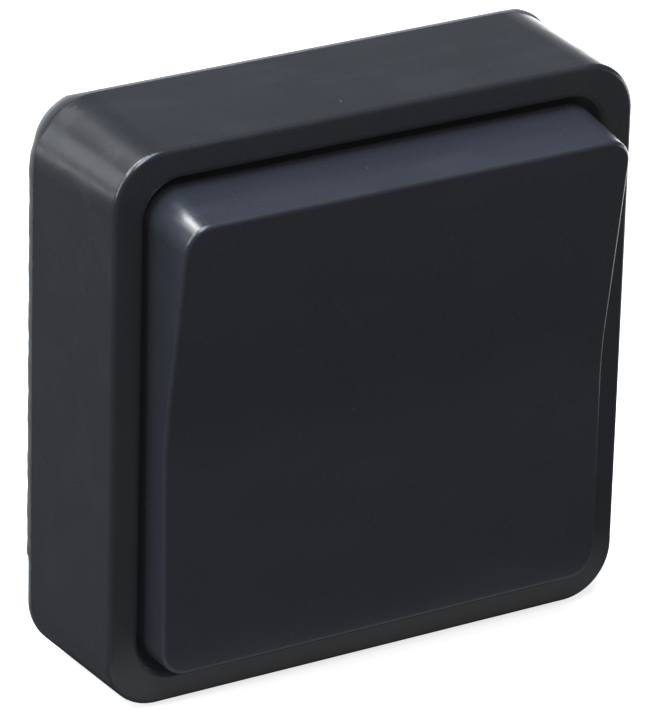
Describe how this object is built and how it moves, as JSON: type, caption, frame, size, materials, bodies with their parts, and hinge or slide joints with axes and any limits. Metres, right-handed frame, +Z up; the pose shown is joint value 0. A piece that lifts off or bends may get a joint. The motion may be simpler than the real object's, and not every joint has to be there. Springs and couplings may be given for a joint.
{
  "type": "outdoor weatherproof light switch",
  "caption": "Flush-mounted weatherproof light switch: square anthracite housing with a rear gasket, one large dished rocker, a steel support plate and a two-way mechanism.",
  "frame": {"origin": "centre of the wall plane, between the two box screws, in the plane of the gasket's rear face", "axes": "+Y into the wall, -Y towards the user, +Z up, +X to the right seen from the front"},
  "size_m": [0.0816, 0.0544, 0.081],
  "materials": {
    "anthracite_shell": "satin moulded plastic, anthracite",
    "anthracite_key": "smooth satin moulded plastic, anthracite",
    "grey_seal": "light grey soft rubber",
    "black_rubber": "soft black rubber",
    "screw_steel": "zinc-plated steel",
    "plated_steel": "zinc-plated sheet steel",
    "bush_brass": "turned brass",
    "insert_plastic": "light grey moulded insert",
    "cover_plastic": "white moulded cover",
    "lever_plastic": "natural moulded plastic",
    "spring_steel": "spring wire",
    "contact_brass": "rolled brass",
    "contact_silver": "silver alloy"
  },
  "bodies": {
    "fixed": {"housing": "anthracite_shell", "rear_gasket": "grey_seal", "stem_boot": "black_rubber", "housing_screws": "screw_steel", "screw_seals": "black_rubber", "support_plate": "plated_steel", "threaded_bushes": "bush_brass", "mechanism_base": "insert_plastic", "mechanism_cover": "cover_plastic", "cover_screws": "screw_steel", "fixed_contact_tips": "contact_silver", "upper_strip": "contact_brass", "lower_strip": "contact_brass", "common_strip": "contact_brass", "terminal_clamps": "plated_steel", "terminal_screws": "screw_steel"},
    "key": {"rocker": "anthracite_key"},
    "lever": {"switch_lever": "lever_plastic", "plunger_spring": "spring_steel"},
    "pressing_pin": {"plunger": "lever_plastic"},
    "see_saw_contact": {"moving_contact": "contact_brass", "moving_contact_tips": "contact_silver"}
  },
  "joints": [
    {"name": "rocker_tilt", "type": "hinge", "parent": "fixed", "child": "key", "pos_m": [0, -0.017, 0], "axis": [1, 0, 0], "range_deg": [-8, 0]},
    {"name": "lever_tilt", "type": "hinge", "parent": "fixed", "child": "lever", "pos_m": [0, 0.0055, 0], "axis": [1, 0, 0], "range_deg": [0, 12.01]},
    {"name": "contact_tilt", "type": "hinge", "parent": "fixed", "child": "see_saw_contact", "pos_m": [0, 0.0137, 0], "axis": [1, 0, 0], "range_deg": [-8, 0]},
    {"name": "plunger_slide", "type": "slide", "parent": "lever", "child": "pressing_pin", "axis": [0, 0.9945, -0.1046], "range_m": [-0.0008, 0], "stiffness_N_per_m": 400, "springref_m": 0.001, "deforming": ["plunger_spring"]}
  ],
  "couplings": [
    {"joint": "lever_tilt", "follows": "rocker_tilt", "ratio": -1.5015},
    {"joint": "contact_tilt", "follows": "rocker_tilt", "ratio": 1}
  ]
}
